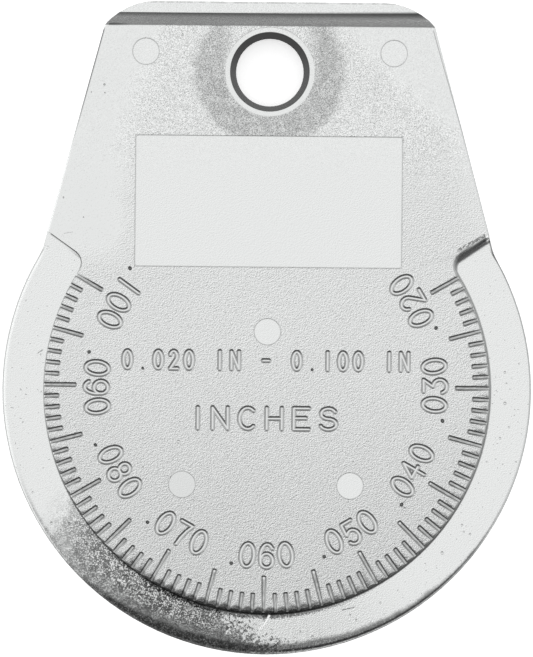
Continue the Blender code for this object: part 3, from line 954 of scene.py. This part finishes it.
def soil(graph, spot, mask, level):
    y, radius, turn, depth = (spot[name] for name in ("y", "radius", "turn", "depth"))
    speck, wobble, front = spot["speck"], spot["wobble"], spot["front"]
    level = level - mask["worn"] * finish["wornLoss"]
    # the crust's patch takes its dark tone, painted shade for a dark reflection over its real pits and
    # grain
    level = level * (1 - mask["crust"]) + crustAndShadeTone(graph, spot, mask) * mask["crust"]

    # the outline's round gets painted shade from the lower left to the lower right, broken by a thin
    # painted highlight along its very edge, and a thin line elsewhere
    reach = graph.within(turn, *finish["outlineShadeTurns"]) * front
    outer = radius + reach * (1.0 * mm) + (speck + wobble - 0.5) * (0.5 * mm)
    edge = graph.rise(outer, 23.3 * mm, 23.75 * mm) * graph.rise(reach, 0, 0.25)
    outlineGlint = graph.rise(radius, 23.24 * mm, 23.30 * mm) - graph.rise(radius, 23.36 * mm, 23.42 * mm)
    edge = edge * (1 - outlineGlint * graph.rise(turn, -125, -95) * 0.45)
    line = graph.rise(radius, 23.33 * mm, 23.42 * mm) * graph.rise(depth, 0.14 * mm, 0.2 * mm)
    line = line * graph.fall(y, 12 * mm, 13 * mm)
    neck = graph.rise(depth, 1.16 * mm, 1.22 * mm) * graph.rise(spot["x"], 16 * mm, 17 * mm)
    line = graph.largest(line, neck * graph.rise(y, 10 * mm, 11 * mm))
    level = level * (1 - line * graph.fall(reach, 0, 0.25) * finish["outlineLoss"])

    # the joint at the wall's foot gets painted shade, reaching in between the graduations, widest at the
    # bottom
    start, pitch = math.degrees(casting["scaleStart"]), math.degrees(casting["graduationPitch"])
    between = graph.math("ABSOLUTE", graph.math("SINE", (turn - start) * (math.pi / pitch)))
    inner = radius + between * (0.28 * mm) + wobble * (0.25 * mm)
    bottom = graph.within(turn, *finish["wallFootShadeTurns"]) * front
    wallFoot = radius - bottom * (0.32 * mm) + speck * (0.8 * mm)
    wallFootShade = graph.rise(inner, 19.3 * mm, 19.64 * mm) * graph.fall(wallFoot, 20.2 * mm, 20.42 * mm) * bottom
    shown = mask["clean"] * finish["speckGain"]
    level = level * (1 - wallFootShade * (finish["wallFootShadeLoss"] - shown)) * (1 - edge * (finish["outlineShadeLoss"] - shown))

    # pinholes in the rim and fine dark grains everywhere
    pinholes = graph.rise(noiseOf(graph, "pinhole", spot["place"]), 0.72, 0.76) * mask["rim"]
    level = level * (1 - pinholes * finish["pinholeLoss"])
    pepper = graph.rise(noiseOf(graph, "pepper", spot["place"]), 0.63, 0.70)
    onField = mask["field"] * finish["fieldPepperLoss"] * (1 - mask["strips"] * 0.8)
    return level * (1 - pepper * (finish["pepperLoss"] + onField))


def shadeWalls(graph, spot, mask, level):
    x, y, radius, turn, depth = (spot[name] for name in ("x", "y", "radius", "turn", "depth"))
    outside = graph.rise(radius, 22.6 * mm, 22.8 * mm) * graph.fall(y, 11.5 * mm, 12 * mm)
    inside = (1 - outside) * graph.rise(spot["inFromSide"], 0.3 * mm, 0.4 * mm)
    # steep walls get painted shade, lighter on a wall that faces up the picture
    walls = graph.rise(spot["tilt"], 0.03, 0.2) * (1 - mask["shoulder"]) * inside
    lit = graph.rise(spot["facing"], -0.55, 0.4) * finish["wallGain"] + finish["wallShade"]
    level = level * (1 - walls * (1 - lit * finish["wallTone"]))
    # painted shade on the rounded crest of both end walls
    crest = graph.rise(spot["tilt"], 0.004, 0.03) * graph.fall(depth, 0.12 * mm, 0.14 * mm) * inside
    crest = crest * graph.rise(y, 10.3 * mm, 11 * mm) * graph.fall(x, -14 * mm, -12 * mm)
    level = level * (1 - crest * finish["crestLoss"])

    inDial = graph.fall(y, 13 * mm, 14 * mm) * graph.fall(radius, 19.66 * mm, 19.72 * mm)
    groove = graph.rise(depth, 0.055 * mm, 0.085 * mm) * inDial
    level = level * (1 - groove * (1 - finish["grooveTone"]))
    # the graduations, streaked along their length
    tick = groove * graph.rise(radius, 16.72 * mm, 16.8 * mm)
    drawn = graph.node("ShaderNodeCombineXYZ", None, {0: turn * (0.33 * mm), 1: radius * 0.25, 2: 0.0})
    streak = noiseOf(graph, "streak", drawn) - 0.5
    level = level * (1 - tick * (finish["tickLoss"] - streak * finish["streakGain"]))

    scrape = strip(graph, spot, finish["scrape"], (-0.2, 1.6), 0.15 * mm) * spot["front"]
    level = level + (finish["scrapeTone"] - level) * scrape
    level = level * (1 - pinLines(graph, spot) * finish["pinLineLoss"])
    level = level * (1 - sideLines(graph, spot) * finish["sideLineLoss"])
    # the shoulder's slope is painted darker as shade, most in the corner at its foot
    shoulderFoot = graph.rise(depth, 0.5 * mm, 0.9 * mm) * finish["shoulderFootShade"]
    level = level * (1 - mask["shoulder"] * (finish["shoulderShade"] + shoulderFoot))
    # the hole's wall is painted dark as shade, darkest towards its top
    holeTop = graph.rise(y, casting["holeHeight"] - 1 * mm, casting["holeHeight"] + 2.6 * mm)
    inHole = mask["hole"] * (1 - holeTop * finish["holeTopShade"]) * finish["holeShadeTone"]
    return level * (1 - mask["hole"]) + inHole


def addGrain(graph, spot, mask, level):
    # fine in tone and lit from one side, coarser in height
    place, field, handle = spot["place"], mask["field"], mask["handle"]
    rough = finish["fieldGrain"] + mask["foot"] * finish["footGrain"] + mask["halo"] * finish["haloGrain"]
    rough = rough + handle * finish["handleGrain"] - mask["strips"] * finish["stripCalm"]
    rough = field * rough + (1 - field) * finish["smoothGrain"] + mask["worn"] * finish["wornGrain"]
    stretched = graph.node(
        "ShaderNodeMapping", None,
        {"Vector": place, "Rotation": (0, 0, finish["grainTurn"]), "Scale": finish["grainStretch"]},
    )
    shifted = graph.vector("ADD", stretched, finish["grainShift"])
    grain = noiseOf(graph, "grain", stretched) - noiseOf(graph, "grain", shifted)
    grain = grain * (1 - handle * 0.7) + (noiseOf(graph, "grain", place) - 0.5) * handle
    level = level * (1 + grain * (rough + mask["shoulder"] * finish["shoulderGrain"]) * finish["grainTone"])
    height = noiseOf(graph, "ripple", stretched) * rough * finish["rippleHeight"]
    height = height + (spot["speck"] + spot["clump"] * 0.6) * mask["crust"] * finish["crustHeight"]
    return level, height


def platedZinc():
    material = bpy.data.materials.new("platedZinc")
    material.use_nodes = True
    graph = Graph(material.node_tree)
    shader = material.node_tree.nodes["Principled BSDF"]
    spot = readPlace(graph)
    mask = readMasks(graph, spot)
    level = cleanTone(graph, spot, mask)
    level = soil(graph, spot, mask, level)
    level = shadeWalls(graph, spot, mask, level)
    level, height = addGrain(graph, spot, mask, level)

    red, blue = level * finish["redShare"], level * finish["blueShare"]
    colour = graph.node("ShaderNodeCombineColor", None, {0: red, 1: level, 2: blue})
    softened = graph.node("ShaderNodeBevel", {"samples": 6}, {"Radius": finish["edgeSoftness"]})
    bumped = graph.node(
        "ShaderNodeBump", None, {"Strength": 1.0, "Distance": mm, "Height": height, "Normal": softened}
    )
    smooth = finish["smoothRoughness"]
    roughness = smooth + mask["field"] * (finish["fieldRoughness"] - smooth)
    roughness = roughness + mask["crust"] * (finish["crustRoughness"] - smooth)
    roughness = roughness + mask["hole"] * finish["holeRoughness"]
    graph.feed(shader.inputs["Base Color"], colour)
    graph.feed(shader.inputs["Metallic"], 1.0)
    graph.feed(shader.inputs["Roughness"], roughness)
    graph.feed(shader.inputs["Normal"], bumped)
    return material


# Stage: a pale floor, a long soft box in the world, and the camera above.
studio = {
    # The light comes from a long box over the object, from left to right. Each line says where it
    # fades, as the sine of the angle off the zenith, and how much of it goes
    "fadeFront": (-0.22, -0.62, 0.97),
    "fadeBack": (0.40, 0.85, 0.80),
    "fadeRight": (0.50, 0.95, 0.40),
    "fadeLeft": (-0.80, -1.0, 0.15),
    "fill": 0.03,
    "glow": 0.32,  # of the room, near the horizon
    "glowFade": (0.2, 0.75),  # as the sine of the angle above it
    "floorRadius": 1.5,
    "floorSegments": 64,
    "floorGap": 0.01 * mm,  # under the object
    "floorLevel": 0.9,
    "floorGlow": 0.62,
    "floorRoughness": 0.9,
    "sensorWidth": 36.0,
    "clipStart": 0.01,
    "clipEnd": 10.0,
    "cameraDistance": 380 * mm,
    "viewHeight": 58.24 * mm,
    "viewRoll": math.radians(0.55),
    "viewAbove": 5.49 * mm,  # the view's centre above the disc's
    "viewLeft": 0.03 * mm,
}


def makeWorld():
    world = bpy.data.worlds.new("Studio")
    bpy.context.scene.world = world
    world.use_nodes = True
    graph = Graph(world.node_tree)
    away = graph.node("ShaderNodeTexCoord", None, None, "Generated")
    across, along, up = graph.split(away)
    ways = {"fadeFront": along, "fadeBack": along, "fadeRight": across, "fadeLeft": across}
    light = 1.0
    for name, way in ways.items():
        start, end, lost = studio[name]
        light = light * (1 - graph.rise(way, start, end) * lost)
    light = light + studio["fill"] + graph.fall(up, *studio["glowFade"]) * studio["glow"]
    path = world.node_tree.nodes.new("ShaderNodeLightPath")
    seen = Value(graph, path.outputs["Is Camera Ray"])
    background = world.node_tree.nodes["Background"]
    graph.feed(background.inputs["Color"], seen + (1 - seen) * light)
    graph.feed(background.inputs["Strength"], 1.0)


def makeFloor():
    bm = bmesh.new()
    bmesh.ops.create_circle(
        bm, cap_ends=True, segments=studio["floorSegments"], radius=studio["floorRadius"]
    )
    mesh = bpy.data.meshes.new("floor")
    bm.to_mesh(mesh)
    bm.free()
    mesh.transform(Matrix.Translation((0, 0, low.z - studio["floorGap"])))
    floor = bpy.data.objects.new("floor", mesh)
    bpy.context.scene.collection.objects.link(floor)
    material = bpy.data.materials.new("paleFloor")
    material.use_nodes = True
    graph = Graph(material.node_tree)
    shader = material.node_tree.nodes["Principled BSDF"]
    path = material.node_tree.nodes.new("ShaderNodeLightPath")
    seen = graph.math(
        "MAXIMUM", Value(graph, path.outputs["Is Camera Ray"]), Value(graph, path.outputs["Is Glossy Ray"])
    )
    graph.feed(shader.inputs["Base Color"], [studio["floorLevel"]] * 3 + [1])
    graph.feed(shader.inputs["Roughness"], studio["floorRoughness"])
    graph.feed(shader.inputs["Specular IOR Level"], 0.0)
    graph.feed(shader.inputs["Emission Color"], seen * studio["floorGlow"])
    graph.feed(shader.inputs["Emission Strength"], 1.0)
    mesh.materials.append(material)


def makeCamera():
    camera = bpy.data.cameras.new("Camera")
    camera.sensor_width = studio["sensorWidth"]
    camera.lens = studio["sensorWidth"] * studio["cameraDistance"] / studio["viewHeight"]
    camera.clip_start = studio["clipStart"]
    camera.clip_end = studio["clipEnd"]
    eye = bpy.data.objects.new("Camera", camera)
    bpy.context.scene.collection.objects.link(eye)
    aim = Matrix.Rotation(studio["viewRoll"], 2) @ Vector((-studio["viewLeft"], studio["viewAbove"]))
    eye.location = (aim.x, aim.y, thickness + studio["cameraDistance"])
    eye.rotation_euler = (0, 0, studio["viewRoll"])
    bpy.context.scene.camera = eye


makeCamera()
makeWorld()
makeFloor()
print("stage ready")
makeCasting(platedZinc())
bpy.context.scene.view_settings.view_transform = "Standard"
